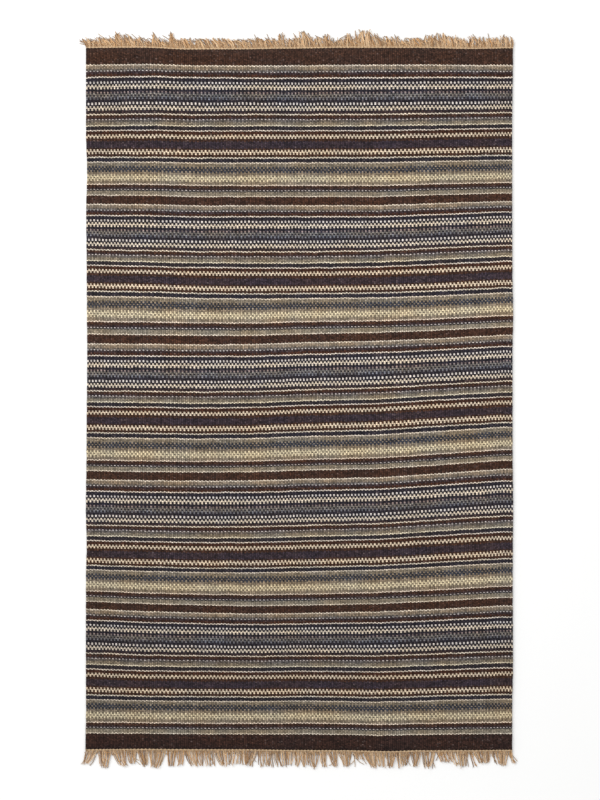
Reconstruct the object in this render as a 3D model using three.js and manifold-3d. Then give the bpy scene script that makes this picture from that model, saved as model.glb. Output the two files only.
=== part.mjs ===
// A flat-woven jute kilim rug, lying flat on the floor.
// The woven field is one cloth: its weft is beaten down over the warp, so that each warp end
// stands up as a low rib along the rug. At both ends a twined heading line closes the weave,
// and beyond it the warp runs out in pairs as a fringe.
// X runs across the rug, Y along it and Z up, in millimetres, with the floor at z = 0.

import * as THREE from "three";
import { mergeVertices } from "three/addons/utils/BufferGeometryUtils.js";
import Module from "manifold-3d";

// The woven field
const FIELD_WIDTH = 910;
const FIELD_LENGTH = 1496;
const FIELD_THICKNESS = 5.5;
const WARP_ENDS = 234;
const PAIR_RELIEF = 1.0;
const END_RELIEF = 0.65;
const SELVEDGE_HEIGHT = 4.0;
const SELVEDGE_RIBS = 3;
const SELVEDGE_STATIONS = 33;
const WARP_STATIONS = 5;
const WARP_DRIFT = 2.0;
const END_STATIONS = 41;

// The heading line between the field and each fringe
const HEADING_GAP = 0.42;
const HEADING_WIDTH = 3.4;
const HEADING_INNER_HEIGHT = 4.4;
const HEADING_OUTER_HEIGHT = 3.4;

// A fringe strand is one pair of warp ends, twisted together and cut off ragged
const STRANDS = WARP_ENDS / 2;
const STRAND_ROOT_WIDTH = 2.9;
const STRAND_TIP_WIDTH = 1.7;
const STRAND_ROOT_HEIGHT = 2.4;
const STRAND_TIP_HEIGHT = 1.5;
const STRAND_TOP_SHARE = 0.62;
const STRAND_EMBEDDED = 1.2;
const STRAND_CLEARANCE = 0.5;
const STRAND_BOW = 1.4;
const STRAND_UNEVENNESS = 0.09;

const DYED_JUTE = 0x5e554e;
const NATURAL_JUTE = 0xb8915f;

// How close the warp ends stand, across the rug: 1 is the mean spacing
const REED = [
  { across: 0.0, spacing: 0.97 },
  { across: 0.07, spacing: 0.9 },
  { across: 0.15, spacing: 1.05 },
  { across: 0.25, spacing: 1.08 },
  { across: 0.31, spacing: 0.94 },
  { across: 0.38, spacing: 1.04 },
  { across: 0.5, spacing: 0.92 },
  { across: 0.57, spacing: 1.01 },
  { across: 0.65, spacing: 0.94 },
  { across: 0.7, spacing: 1.1 },
  { across: 0.8, spacing: 1.03 },
  { across: 0.89, spacing: 1.02 },
  { across: 0.95, spacing: 0.88 },
  { across: 1.0, spacing: 0.88 },
];

// How far the selvedges stand out from a straight edge, from the near end (0) to the far end (1)
const SIDE_WANDER = [
  { along: 0.0, left: 1.9, right: -1.1 },
  { along: 0.06, left: 0.5, right: -1.2 },
  { along: 0.12, left: 0.9, right: 0.6 },
  { along: 0.25, left: 0.6, right: -0.2 },
  { along: 0.29, left: -0.9, right: 0.2 },
  { along: 0.34, left: 0.9, right: 0.9 },
  { along: 0.43, left: -0.6, right: -0.4 },
  { along: 0.57, left: -2.0, right: -0.6 },
  { along: 0.62, left: -1.4, right: 0.9 },
  { along: 0.68, left: -0.9, right: -0.7 },
  { along: 0.77, left: 0.3, right: -1.3 },
  { along: 0.82, left: -1.8, right: -1.2 },
  { along: 0.88, left: 0.7, right: -1.4 },
  { along: 1.0, left: 0.8, right: 0.6 },
];

// How far the two ends stand out from a straight edge, from the left selvedge to the right
const END_WANDER = [
  { across: 0.0, far: 1.0, near: -1.3 },
  { across: 0.13, far: 1.6, near: -2.1 },
  { across: 0.24, far: -2.2, near: -1.5 },
  { across: 0.36, far: -1.9, near: -1.2 },
  { across: 0.48, far: -0.4, near: 0.3 },
  { across: 0.6, far: 1.3, near: 0.8 },
  { across: 0.71, far: 1.2, near: 2.8 },
  { across: 0.78, far: 1.2, near: 1.1 },
  { across: 0.9, far: -1.2, near: 0.7 },
  { across: 1.0, far: 0.3, near: 0.0 },
];

// The locks of each fringe, from the left selvedge to the right. Each has a number of strands,
// the way its tips lean to the right, its reach beyond the heading, and the share of its
// strands' spacing that they lose by drawing together at the tips.
const NEAR_LOCKS = [
  { strands: 3, lean: -15, reach: 28, gather: 0.55 },
  { strands: 4, lean: -1, reach: 36, gather: 0.5 },
  { strands: 4, lean: 8, reach: 33, gather: 0.5 },
  { strands: 3, lean: 1, reach: 27, gather: 0.4 },
  { strands: 3, lean: 5, reach: 34, gather: 0.6 },
  { strands: 5, lean: -4, reach: 36, gather: 0.5 },
  { strands: 3, lean: -2, reach: 33, gather: 0.5 },
  { strands: 2, lean: -2, reach: 32, gather: 0.45 },
  { strands: 5, lean: 7, reach: 33, gather: 0.2 },
  { strands: 3, lean: 5, reach: 33, gather: 0.0 },
  { strands: 1, lean: 12, reach: 33, gather: 0.0 },
  { strands: 5, lean: 3, reach: 32, gather: 0.35 },
  { strands: 2, lean: 0, reach: 31, gather: 0.0 },
  { strands: 4, lean: -6, reach: 31, gather: 0.55 },
  { strands: 4, lean: 2, reach: 33, gather: 0.0 },
  { strands: 1, lean: 7, reach: 33, gather: 0.0 },
  { strands: 3, lean: 5, reach: 32, gather: 0.4 },
  { strands: 2, lean: -1, reach: 30, gather: 0.2 },
  { strands: 2, lean: -1, reach: 32, gather: 0.4 },
  { strands: 3, lean: 3, reach: 32, gather: 0.1 },
  { strands: 2, lean: -3, reach: 36, gather: 0.6 },
  { strands: 2, lean: 2, reach: 32, gather: 0.5 },
  { strands: 3, lean: 8, reach: 32, gather: 0.6 },
  { strands: 4, lean: 4, reach: 31, gather: 0.55 },
  { strands: 3, lean: 3, reach: 16, gather: 0.0 },
  { strands: 4, lean: 9, reach: 32, gather: 0.6 },
  { strands: 2, lean: 3, reach: 33, gather: 0.2 },
  { strands: 3, lean: 0, reach: 32, gather: 0.6 },
  { strands: 1, lean: 3, reach: 32, gather: 0.0 },
  { strands: 3, lean: -1, reach: 29, gather: 0.55 },
  { strands: 3, lean: -2, reach: 31, gather: 0.6 },
  { strands: 4, lean: -2, reach: 35, gather: 0.45 },
  { strands: 4, lean: 8, reach: 23, gather: 0.2 },
  { strands: 2, lean: 8, reach: 30, gather: 0.0 },
  { strands: 3, lean: 0, reach: 34, gather: 0.5 },
  { strands: 1, lean: 9, reach: 32, gather: 0.0 },
  { strands: 5, lean: 5, reach: 24, gather: 0.4 },
  { strands: 1, lean: 7, reach: 26, gather: 0.0 },
  { strands: 4, lean: 2, reach: 30, gather: 0.5 },
  { strands: 1, lean: 8, reach: 26, gather: 0.0 },
];
const FAR_LOCKS = [
  { strands: 2, lean: -7, reach: 15, gather: 0.0 },
  { strands: 2, lean: -7, reach: 10, gather: 0.0 },
  { strands: 4, lean: -10, reach: 16, gather: 0.0 },
  { strands: 2, lean: -5, reach: 27, gather: 0.6 },
  { strands: 3, lean: -8, reach: 21, gather: 0.0 },
  { strands: 3, lean: -8, reach: 15, gather: 0.0 },
  { strands: 2, lean: -6, reach: 8, gather: 0.0 },
  { strands: 1, lean: -2, reach: 29, gather: 0.0 },
  { strands: 2, lean: -6, reach: 16, gather: 0.0 },
  { strands: 2, lean: -10, reach: 11, gather: 0.0 },
  { strands: 2, lean: -6, reach: 28, gather: 0.6 },
  { strands: 2, lean: -6, reach: 14, gather: 0.0 },
  { strands: 5, lean: -8, reach: 17, gather: 0.0 },
  { strands: 5, lean: -10, reach: 17, gather: 0.0 },
  { strands: 4, lean: -12, reach: 17, gather: 0.0 },
  { strands: 4, lean: -10, reach: 16, gather: 0.0 },
  { strands: 3, lean: -7, reach: 17, gather: 0.0 },
  { strands: 3, lean: -7, reach: 16, gather: 0.0 },
  { strands: 2, lean: -10, reach: 16, gather: 0.0 },
  { strands: 2, lean: -6, reach: 26, gather: 0.3 },
  { strands: 2, lean: -4, reach: 15, gather: 0.0 },
  { strands: 2, lean: -3, reach: 21, gather: 0.0 },
  { strands: 3, lean: -7, reach: 29, gather: 0.2 },
  { strands: 3, lean: -6, reach: 17, gather: 0.0 },
  { strands: 2, lean: -2, reach: 24, gather: 0.5 },
  { strands: 2, lean: -3, reach: 10, gather: 0.0 },
  { strands: 2, lean: -3, reach: 14, gather: 0.0 },
  { strands: 2, lean: -2, reach: 24, gather: 0.4 },
  { strands: 1, lean: -2, reach: 13, gather: 0.0 },
  { strands: 4, lean: -2, reach: 30, gather: 0.1 },
  { strands: 3, lean: -9, reach: 26, gather: 0.1 },
  { strands: 1, lean: -5, reach: 15, gather: 0.0 },
  { strands: 2, lean: -4, reach: 19, gather: 0.0 },
  { strands: 2, lean: -5, reach: 18, gather: 0.0 },
  { strands: 3, lean: -9, reach: 9, gather: 0.0 },
  { strands: 4, lean: -8, reach: 15, gather: 0.0 },
  { strands: 3, lean: -5, reach: 21, gather: 0.0 },
  { strands: 3, lean: -4, reach: 24, gather: 0.1 },
  { strands: 3, lean: -5, reach: 21, gather: 0.0 },
  { strands: 3, lean: -6, reach: 17, gather: 0.0 },
  { strands: 2, lean: -3, reach: 22, gather: 0.2 },
  { strands: 4, lean: -5, reach: 19, gather: 0.0 },
  { strands: 3, lean: -6, reach: 17, gather: 0.0 },
  { strands: 2, lean: -2, reach: 22, gather: 0.0 },
  { strands: 1, lean: -2, reach: 20, gather: 0.0 },
];

const wasm = await Module();
wasm.setup();

// A column of a table at a place between its rows, on a smooth curve through them.
function along(table, key, column, at) {
  let row = 0;
  while (row < table.length - 2 && at > table[row + 1][key]) {
    row += 1;
  }
  const a = table[row];
  const b = table[row + 1];
  const t = Math.min(Math.max((at - a[key]) / (b[key] - a[key]), 0), 1);
  const eased = t * t * (3 - 2 * t);
  return a[column] + (b[column] - a[column]) * eased;
}

const sideWander = (side, share) => along(SIDE_WANDER, "along", side, share);

// The ends run straight between evenly spaced points, so that the heading line keeps its gap.
function endWander(end, share) {
  const place = share * (END_STATIONS - 1);
  const station = Math.min(Math.floor(place), END_STATIONS - 2);
  const from = along(END_WANDER, "across", end, station / (END_STATIONS - 1));
  const to = along(END_WANDER, "across", end, (station + 1) / (END_STATIONS - 1));
  return THREE.MathUtils.lerp(from, to, place - station);
}

// Where each rib line crosses the rug, as shares of its width: valley, crest, valley and so on.
function ribShares() {
  const shares = [0];
  const lines = 2 * WARP_ENDS;
  for (let line = 0; line < lines; line += 1) {
    const step = along(REED, "across", "spacing", (line + 0.5) / lines);
    shares.push(shares[line] + step);
  }
  return shares.map((share) => share / shares[lines]);
}

// The y of the field's near and far edge at a share of its width.
const nearEnd = (across) => -FIELD_LENGTH / 2 - endWander("near", across);
const farEnd = (across) => FIELD_LENGTH / 2 + endWander("far", across);

// Warp ends stand in pairs, with a shallow valley inside a pair and a deep one between pairs.
function ribHeight(line) {
  if (line % 2 === 1) {
    return FIELD_THICKNESS;
  }
  return FIELD_THICKNESS - (line % 4 === 0 ? PAIR_RELIEF : END_RELIEF);
}

// A point of the field: its place from shares of the width and of the length, and its height.
// Near a selvedge it follows that edge, and further in only the warp's own slow drift.
function fieldPoint(across, share, height) {
  const reach = FIELD_WIDTH / 40;
  const fromLeft = across * FIELD_WIDTH;
  const fromRight = (1 - across) * FIELD_WIDTH;
  const drift = WARP_DRIFT * Math.sin(Math.PI * share) * Math.sin(2 * Math.PI * across);
  const left = sideWander("left", share) * Math.max(0, 1 - fromLeft / reach);
  const right = sideWander("right", share) * Math.max(0, 1 - fromRight / reach);
  const x = (across - 0.5) * FIELD_WIDTH + drift - left + right;
  const y = THREE.MathUtils.lerp(nearEnd(across), farEnd(across), share);
  return new THREE.Vector3(x, y, height);
}

// Faces between two lines of points that run the same way, each with its own spacing.
// A face takes its next point from the line that is behind, measured by shares of each line.
function stitch(faces, a, b) {
  let i = 0;
  let j = 0;
  while (i < a.length - 1 || j < b.length - 1) {
    const nextA = (i + 1) / (a.length - 1);
    const nextB = (j + 1) / (b.length - 1);
    if (j === b.length - 1 || (i < a.length - 1 && nextA <= nextB)) {
      faces.push(a[i], b[j], a[i + 1]);
      i += 1;
    } else {
      faces.push(a[i], b[j], b[j + 1]);
      j += 1;
    }
  }
}

function geometryOf(faces) {
  const positions = faces.flatMap((point) => [point.x, point.y, point.z]);
  const geometry = new THREE.BufferGeometry();
  geometry.setAttribute("position", new THREE.Float32BufferAttribute(positions, 3));
  return mergeVertices(geometry, 1e-4);
}

function solidOf(faces) {
  const geometry = geometryOf(faces);
  return new wasm.Manifold(
    new wasm.Mesh({
      numProp: 3,
      vertProperties: new Float32Array(geometry.attributes.position.array),
      triVerts: new Uint32Array(geometry.index.array),
    }),
  );
}

function meshOf(name, geometry, colour) {
  geometry.computeVertexNormals();
  const material = new THREE.MeshStandardMaterial({ color: colour, roughness: 0.95, metalness: 0 });
  const mesh = new THREE.Mesh(geometry, material);
  mesh.name = name;
  return mesh;
}

function geometryFromSolid(solid) {
  const { numProp, vertProperties, triVerts } = solid.getMesh();
  const positions = [];
  for (let i = 0; i < vertProperties.length; i += numProp) {
    positions.push(vertProperties[i], vertProperties[i + 1], vertProperties[i + 2]);
  }
  const geometry = new THREE.BufferGeometry();
  geometry.setAttribute("position", new THREE.Float32BufferAttribute(positions, 3));
  geometry.setIndex(Array.from(triVerts));
  return geometry;
}

const shares = (count) => Array.from({ length: count }, (_, i) => i / (count - 1));

// The woven field: ribbed on top, flat underneath where it lies on the floor.
function wovenField() {
  const faces = [];
  const ribs = ribShares();
  const last = ribs.length - 1;
  const lines = ribs.map((across, line) => {
    const fromEdge = Math.min(line, last - line);
    const height = fromEdge === 0 ? SELVEDGE_HEIGHT : ribHeight(line);
    const stations = fromEdge <= 2 * SELVEDGE_RIBS ? SELVEDGE_STATIONS : WARP_STATIONS;
    return shares(stations).map((share) => fieldPoint(across, share, height));
  });
  for (let line = 0; line < last; line += 1) {
    stitch(faces, lines[line], lines[line + 1]);
  }

  // The underside's outline, the walls between it and the top, and its own flat face
  const onFloor = (point) => new THREE.Vector3(point.x, point.y, 0);
  const leftFoot = lines[0].map(onFloor);
  const rightFoot = lines[last].map(onFloor);
  const endFoot = (share) => {
    const inner = shares(END_STATIONS).slice(1, -1);
    const corners = share === 0 ? [leftFoot[0], rightFoot[0]] : [leftFoot.at(-1), rightFoot.at(-1)];
    return [corners[0], ...inner.map((across) => fieldPoint(across, share, 0)), corners[1]];
  };
  const nearFoot = endFoot(0);
  const farFoot = endFoot(1);
  stitch(faces, leftFoot, lines[0]);
  stitch(faces, lines[last], rightFoot);
  stitch(faces, lines.map((line) => line[0]), nearFoot);
  stitch(faces, farFoot, lines.map((line) => line.at(-1)));
  const outline = [
    ...nearFoot,
    ...rightFoot.slice(1),
    ...farFoot.slice(0, -1).reverse(),
    ...leftFoot.slice(1, -1).reverse(),
  ];
  for (const [a, b, c] of THREE.ShapeUtils.triangulateShape(outline, [])) {
    faces.push(outline[c], outline[b], outline[a]);
  }
  return meshOf("woven_field", geometryOf(faces), DYED_JUTE);
}

// A closed tube through rings of points, each ring counter-clockwise seen from its far end.
function closedLoft(rings) {
  const faces = [];
  const sides = rings[0].length;
  for (let i = 0; i < rings.length - 1; i += 1) {
    for (let k = 0; k < sides; k += 1) {
      const next = (k + 1) % sides;
      faces.push(rings[i][k], rings[i][next], rings[i + 1][k]);
      faces.push(rings[i][next], rings[i + 1][next], rings[i + 1][k]);
    }
  }
  const start = rings[0];
  const end = rings.at(-1);
  for (let k = 1; k < sides - 1; k += 1) {
    faces.push(start[0], start[k + 1], start[k]);
    faces.push(end[0], end[k], end[k + 1]);
  }
  return faces;
}

// The heading line: a low twined cord along one end, 0.3 mm from the field. outward is 1 at the
// far end and -1 at the near end.
function headingLine(endOf, outward) {
  const rings = shares(END_STATIONS).map((across) => {
    const at = fieldPoint(across, outward > 0 ? 1 : 0, 0);
    const inner = endOf(across) + outward * HEADING_GAP;
    const outer = inner + outward * HEADING_WIDTH;
    const ring = [
      new THREE.Vector3(at.x, inner, 0),
      new THREE.Vector3(at.x, outer, 0),
      new THREE.Vector3(at.x, outer, HEADING_OUTER_HEIGHT),
      new THREE.Vector3(at.x, inner, HEADING_INNER_HEIGHT),
    ];
    return outward > 0 ? ring : ring.reverse();
  });
  return solidOf(closedLoft(rings));
}

// Each strand's root, slope and reach, worked out from its lock.
function strandPlan(locks) {
  const pitch = 1 / STRANDS;
  const plan = [];
  locks.forEach((lock, lockIndex) => {
    for (let k = 0; k < lock.strands; k += 1) {
      const fromMiddle = (k - (lock.strands - 1) / 2) * pitch * FIELD_WIDTH;
      const uneven = Math.sin(2.4 * plan.length) * STRAND_UNEVENNESS;
      const reach = lock.reach * (1 + uneven - 0.06 * Math.abs(fromMiddle) / 10);
      plan.push({
        across: (plan.length + 0.5) * pitch,
        slope: (lock.lean - lock.gather * fromMiddle) / lock.reach,
        bow: STRAND_BOW * Math.sin(1.7 * lockIndex),
        reach,
      });
    }
  });
  // Neighbours keep clear of each other up to the tip of the shorter one.
  for (let i = 1; i < plan.length; i += 1) {
    const before = plan[i - 1];
    const strand = plan[i];
    const shared = Math.min(before.reach, strand.reach);
    const lean = Math.hypot(1, Math.max(Math.abs(before.slope), Math.abs(strand.slope)));
    const room = (0.9 * FIELD_WIDTH) / STRANDS - (STRAND_ROOT_WIDTH + STRAND_CLEARANCE) * lean;
    const bowed = Math.abs(strand.bow - before.bow);
    strand.slope = Math.max(strand.slope, before.slope - Math.max(room - bowed, 0) / shared);
  }
  return plan;
}

// One strand: a flat-bottomed, tapering lock of four sides that lies on the floor.
function strandSolid(strand, endOf, outward, stations) {
  const root = fieldPoint(strand.across, outward > 0 ? 1 : 0, 0);
  const rootY = endOf(strand.across) + outward * (HEADING_GAP + HEADING_WIDTH - STRAND_EMBEDDED);
  const rings = shares(stations).map((t) => {
    const out = t * (strand.reach + STRAND_EMBEDDED);
    const width = THREE.MathUtils.lerp(STRAND_ROOT_WIDTH, STRAND_TIP_WIDTH, t);
    const height = THREE.MathUtils.lerp(STRAND_ROOT_HEIGHT, STRAND_TIP_HEIGHT, t);
    const x = root.x + strand.slope * out + strand.bow * Math.sin(Math.PI * t);
    const y = rootY + outward * out;
    const half = (width / 2) * Math.hypot(1, strand.slope);
    const ring = [
      new THREE.Vector3(x + half, y, 0),
      new THREE.Vector3(x + half * STRAND_TOP_SHARE, y, height),
      new THREE.Vector3(x - half * STRAND_TOP_SHARE, y, height),
      new THREE.Vector3(x - half, y, 0),
    ];
    return outward > 0 ? ring.reverse() : ring;
  });
  return solidOf(closedLoft(rings));
}

// A fringe: its heading line and its strands, joined at their roots.
function fringe(name, locks, endOf, outward, stations) {
  let solid = headingLine(endOf, outward);
  for (const strand of strandPlan(locks)) {
    solid = solid.add(strandSolid(strand, endOf, outward, stations));
  }
  return meshOf(name, geometryFromSolid(solid), NATURAL_JUTE);
}

const rug = new THREE.Group();
rug.add(wovenField());
rug.add(fringe("far_fringe", FAR_LOCKS, farEnd, 1, 4));
rug.add(fringe("near_fringe", NEAR_LOCKS, nearEnd, -1, 4));

// The rug's own box is centred over the origin, whatever its fringes reach
const box = new THREE.Box3().setFromObject(rug);
rug.position.set(-(box.min.x + box.max.x) / 2, -(box.min.y + box.max.y) / 2, 0);

export default rug;
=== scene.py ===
"""A jute kilim rug, laid flat on a pale floor and seen from straight above.

The woven field is a weft-faced plain weave: each pick of weft shows as a row of short floats,
on every other warp end, and the next pick shows on the ends between. So the stripes, dots and
small zigzags all follow from the order of the yarns, one pick after another.
"""

import math

import bpy
import numpy as np
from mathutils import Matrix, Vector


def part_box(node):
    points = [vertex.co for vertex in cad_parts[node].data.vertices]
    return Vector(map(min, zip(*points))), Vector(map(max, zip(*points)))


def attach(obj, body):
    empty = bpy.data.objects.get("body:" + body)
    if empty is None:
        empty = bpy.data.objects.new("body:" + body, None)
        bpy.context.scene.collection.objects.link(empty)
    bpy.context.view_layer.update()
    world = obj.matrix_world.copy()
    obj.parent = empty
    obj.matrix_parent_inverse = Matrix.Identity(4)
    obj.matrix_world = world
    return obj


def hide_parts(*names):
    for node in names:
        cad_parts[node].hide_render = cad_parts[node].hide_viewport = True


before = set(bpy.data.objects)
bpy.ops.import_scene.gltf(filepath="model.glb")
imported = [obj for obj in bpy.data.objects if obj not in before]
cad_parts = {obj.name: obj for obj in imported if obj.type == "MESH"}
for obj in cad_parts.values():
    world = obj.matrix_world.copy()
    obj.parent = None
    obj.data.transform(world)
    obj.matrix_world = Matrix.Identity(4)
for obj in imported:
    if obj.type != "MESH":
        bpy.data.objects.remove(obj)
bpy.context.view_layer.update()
rng = np.random.default_rng(1702)

MM = 0.001
TAU = 2 * math.pi

# The photo's scale: one pixel in millimetres, and the pixel at the field's centre. Places in the
# photo are counted from the middle of its first pixel.
PIXEL = 2.1346
CENTRE_PX = (299.0, 398.6)
PHOTO_PX = (600, 800)
HALF_PIXEL = 0.5

# The woven field, in millimetres
FIELD_WIDTH = 910
FIELD_LENGTH = 1496
THICKNESS = 5.5
WARP_ENDS = 234
PAIR_RELIEF = 1.0
END_RELIEF = 0.65
SELVEDGE_MIDDLE = 2.7
END_SCALLOP = 0.6
SELVEDGE_SCALLOP = 0.35
SELVEDGE_WAVE = 5.3
WARP_DRIFT = 2.0
FIELD_ROWS = 102
WARP_SWAY = 0.14
SWAY_LENGTH = (30, 70)
PUCKER = 0.22
EDGE_EASE = 35

# The cloth's flat map: a corner and a size for each face, and a narrow strip for each end as
# (row of the mesh, turn of its faces, place across)
MAP_TOP = np.array([(0.005, 0.005), (0.7, 0.99)])
MAP_UNDER = np.array([(0.72, 0.005), (0.275, 0.99)])
END_STRIPS = ((0, 1, 0.7115), (-1, -1, 0.7155))
STRIP_WIDTH = 0.0012
CORNER_PLACES = (0.001, 0.997)
CORNER_SIZE = 0.001

# The order of the weft yarns, from the far end to the near one
END_BAND = 22
REPEAT = 194
REPEATS = 5
STRIPE = 11
PICKS = END_BAND + REPEATS * REPEAT - STRIPE + END_BAND

# How close the warp ends stand, across the rug: (share of the width, spacing)
REED = [
    (0.0, 0.97), (0.07, 0.9), (0.15, 1.05), (0.25, 1.08), (0.31, 0.94), (0.38, 1.04), (0.5, 0.92),
    (0.57, 1.01), (0.65, 0.94), (0.7, 1.1), (0.8, 1.03), (0.89, 1.02), (0.95, 0.88), (1.0, 0.88),
]

# How far the selvedges stand out: (share of the length from the near end, left, right)
SIDE_WANDER = [
    (0.0, 1.9, -1.1), (0.06, 0.5, -1.2), (0.12, 0.9, 0.6), (0.25, 0.6, -0.2), (0.29, -0.9, 0.2),
    (0.34, 0.9, 0.9), (0.43, -0.6, -0.4), (0.57, -2.0, -0.6), (0.62, -1.4, 0.9), (0.68, -0.9, -0.7),
    (0.77, 0.3, -1.3), (0.82, -1.8, -1.2), (0.88, 0.7, -1.4), (1.0, 0.8, 0.6),
]

# How far the ends stand out: (share of the width, far end, near end)
END_WANDER = [
    (0.0, 1.0, -1.3), (0.13, 1.6, -2.1), (0.24, -2.2, -1.5), (0.36, -1.9, -1.2), (0.48, -0.4, 0.3),
    (0.6, 1.3, 0.8), (0.71, 1.2, 2.8), (0.78, 1.2, 1.1), (0.9, -1.2, 0.7), (1.0, 0.3, 0.0),
]

# Where the weft lies along the rug, as a height in the photo: (pick of the repeat, repeats 1 to 5)
BEATEN = [
    (0, 64.2, 203.8, 340.8, 476.7, 610.25),
    (16, 77.5, 215.6, 353.3, 489.1, 622.0),
    (39, 93.5, 231.3, 369.3, 505.3, 636.2),
    (65, 114.0, 249.8, 388.5, 523.6, 654.5),
    (87, 130.0, 265.8, 404.2, 539.3, 670.25),
    (107.5, 144.0, 279.5, 417.7, 552.9, 683.4),
    (124, 157.2, 291.8, 430.4, 565.2, 696.0),
    (141.5, 169.1, 304.2, 442.5, 576.5, 706.75),
    (164, 184.1, 320.1, 457.6, 591.6, 722.4),
    (183, 196.2, 333.5, 469.3, 603.7, 734.1),
]

# How far each pick of a repeat has settled from even beating: (pick, shift towards the near end)
SETTLED = [
    (0, 0.0), (20, 0.0), (23.5, -0.2), (28.5, -1.4), (31.5, -0.9), (34.8, -0.4), (37.5, 0.6),
    (43.5, 0.9), (50.5, 0.8), (55.5, 0.2), (58.5, -0.3), (66, -0.2), (70, 0.0), (74, 0.3),
    (78, 0.0), (87, 0.0), (96, -0.6), (102, -0.6), (112, -0.1), (116, -0.4), (126, 0.0),
    (138, 0.1), (142, -0.5), (148, -0.6), (159, -0.2), (163, 0.2), (170, 0.2), (178, -0.7),
    (186, -0.6), (194, 0.0),
]
SETTLED_SPAN = 4.0
PICK_WANDER = 2.4
FAR_EDGE_PX = 48.1
NEAR_EDGE_PX = 749.1

# How far the weft bows out of line, in pixels: the places across, then (height, bow at each place)
BOW_ACROSS = (95, 147, 198, 250, 302, 379, 431, 482)
BOW = [
    (48, -0.3, -0.8, 1.1, 1.1, 0.1, -0.3, -0.4, 0.6),
    (81, 0.0, -1.1, 0.1, 0.6, 1.0, 0.2, -0.2, -0.1),
    (114, 0.7, -0.2, 0.9, 0.3, 0.6, 0.4, -0.4, -1.1),
    (147, 0.2, 0.0, 1.0, 0.7, 0.5, 0.3, -0.8, -1.8),
    (180, -0.4, -0.5, 0.9, 1.0, 0.8, 1.0, -0.5, -1.4),
    (213, -0.4, -0.1, 1.3, 0.8, 1.0, 0.8, -1.1, -3.0),
    (257, -0.5, 0.8, 1.7, 1.9, 2.0, 0.7, -1.7, -4.0),
    (279, -1.2, -0.4, 1.5, 1.9, 1.9, 0.9, -1.0, -3.5),
    (300, -0.6, 0.0, 1.6, 2.1, 1.4, 0.7, -0.7, -3.2),
    (322, 0.7, 1.4, 2.2, 2.4, 0.9, -0.1, -1.6, -4.2),
    (345, 2.0, 2.5, 2.8, 2.7, 0.9, -1.0, -3.0, -5.9),
    (411, 2.2, 2.7, 3.7, 3.0, 0.9, -0.9, -4.1, -6.8),
    (477, 1.7, 2.7, 3.0, 2.8, 1.2, -0.3, -3.6, -7.4),
    (543, 0.8, 1.8, 2.9, 2.7, 1.4, -0.4, -3.6, -6.6),
    (609, -2.2, 0.1, 1.4, 2.4, 1.8, 0.2, -1.9, -4.7),
    (675, -1.7, 0.1, 0.5, 0.8, 0.2, 1.1, -0.4, -2.2),
    (741, -1.0, -0.7, 0.1, 0.1, -0.6, 1.2, 0.3, -0.2),
]

# How strongly each lot of yarn took its dye, from the far end: (share of the length, level)
DYE_LOTS = [
    (0.0, 1.0), (0.12, 1.0), (0.2, 1.04), (0.3, 1.1), (0.42, 1.1), (0.5, 1.04), (0.6, 1.02),
    (0.75, 0.98), (0.85, 0.9), (0.95, 0.92), (1.0, 1.0),
]
# Painted light: how much lighter the cloth is painted from its left edge to its right
PAINTED_LIGHT_TO_RIGHT = 0.1

# The yarns, in sRGB
YARNS = {
    "brown": (74, 49, 38),
    "dark_brown": (60, 39, 33),
    "red_brown": (75, 46, 34),
    "navy": (50, 45, 53),
    "dark_navy": (54, 47, 51),
    "purple": (65, 50, 51),
    "slate": (63, 51, 58),
    "dark_grey": (78, 73, 70),
    "mid_grey": (110, 101, 94),
    "dark_slate": (62, 64, 73),
    "taupe": (150, 134, 114),
    "tan": (154, 136, 116),
    "olive": (145, 132, 114),
    "grey_green": (154, 141, 122),
    "pink_grey": (150, 132, 128),
    "grey": (134, 128, 122),
    "blue_grey": (122, 121, 126),
    "cream": (239, 223, 201),
    "yellow_cream": (242, 228, 200),
    "pink_cream": (248, 227, 204),
    "grey_cream": (228, 215, 195),
    "white": (243, 233, 224),
    "warm_white": (240, 225, 208),
    "muted_white": (208, 200, 195),
    "dot_white": (216, 205, 200),
    "gold": (239, 218, 190),
    "gold_cream": (238, 221, 184),
}

# Undyed fibre that shows through, and single dusty floats
RAW_JUTE = (140, 118, 100)
DUST = (164, 146, 142)

# The undyed yarns of the fringe: the darkest, the lightest, the golden ones, and dark fibres
FRINGE_DARK = (160, 118, 80)
FRINGE_LIGHT = (246, 212, 170)
FRINGE_GOLD = (220, 164, 98)
FRINGE_FIBRE = (132, 94, 62)

# How each float lies: its lean and waver, in picks, and how fine and uneven a light yarn is
FLOAT_SLANT = -0.35
FLOAT_WAVER = 0.25
SLUB_FINENESS = 0.9
SLUB_UNEVEN = 0.8

# The motifs, pick by pick: each letter stands for a yarn
MOTIFS = {
    "white-cream": ("W N W N N C N C C N C N", {"W": "white", "C": "cream", "N": "navy"}),
    "grey-navy": (
        "P N G G N G U N U",
        {"P": "pink_grey", "G": "grey", "U": "blue_grey", "N": "navy"},
    ),
    "gold-brown": ("G B G G B G", {"G": "gold", "B": "brown"}),
    "slate-taupe": ("D T D D T D D T D", {"D": "dark_slate", "T": "taupe"}),
    "gold-taupe": ("C T C C T C C T C", {"C": "gold_cream", "T": "taupe"}),
}

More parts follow.
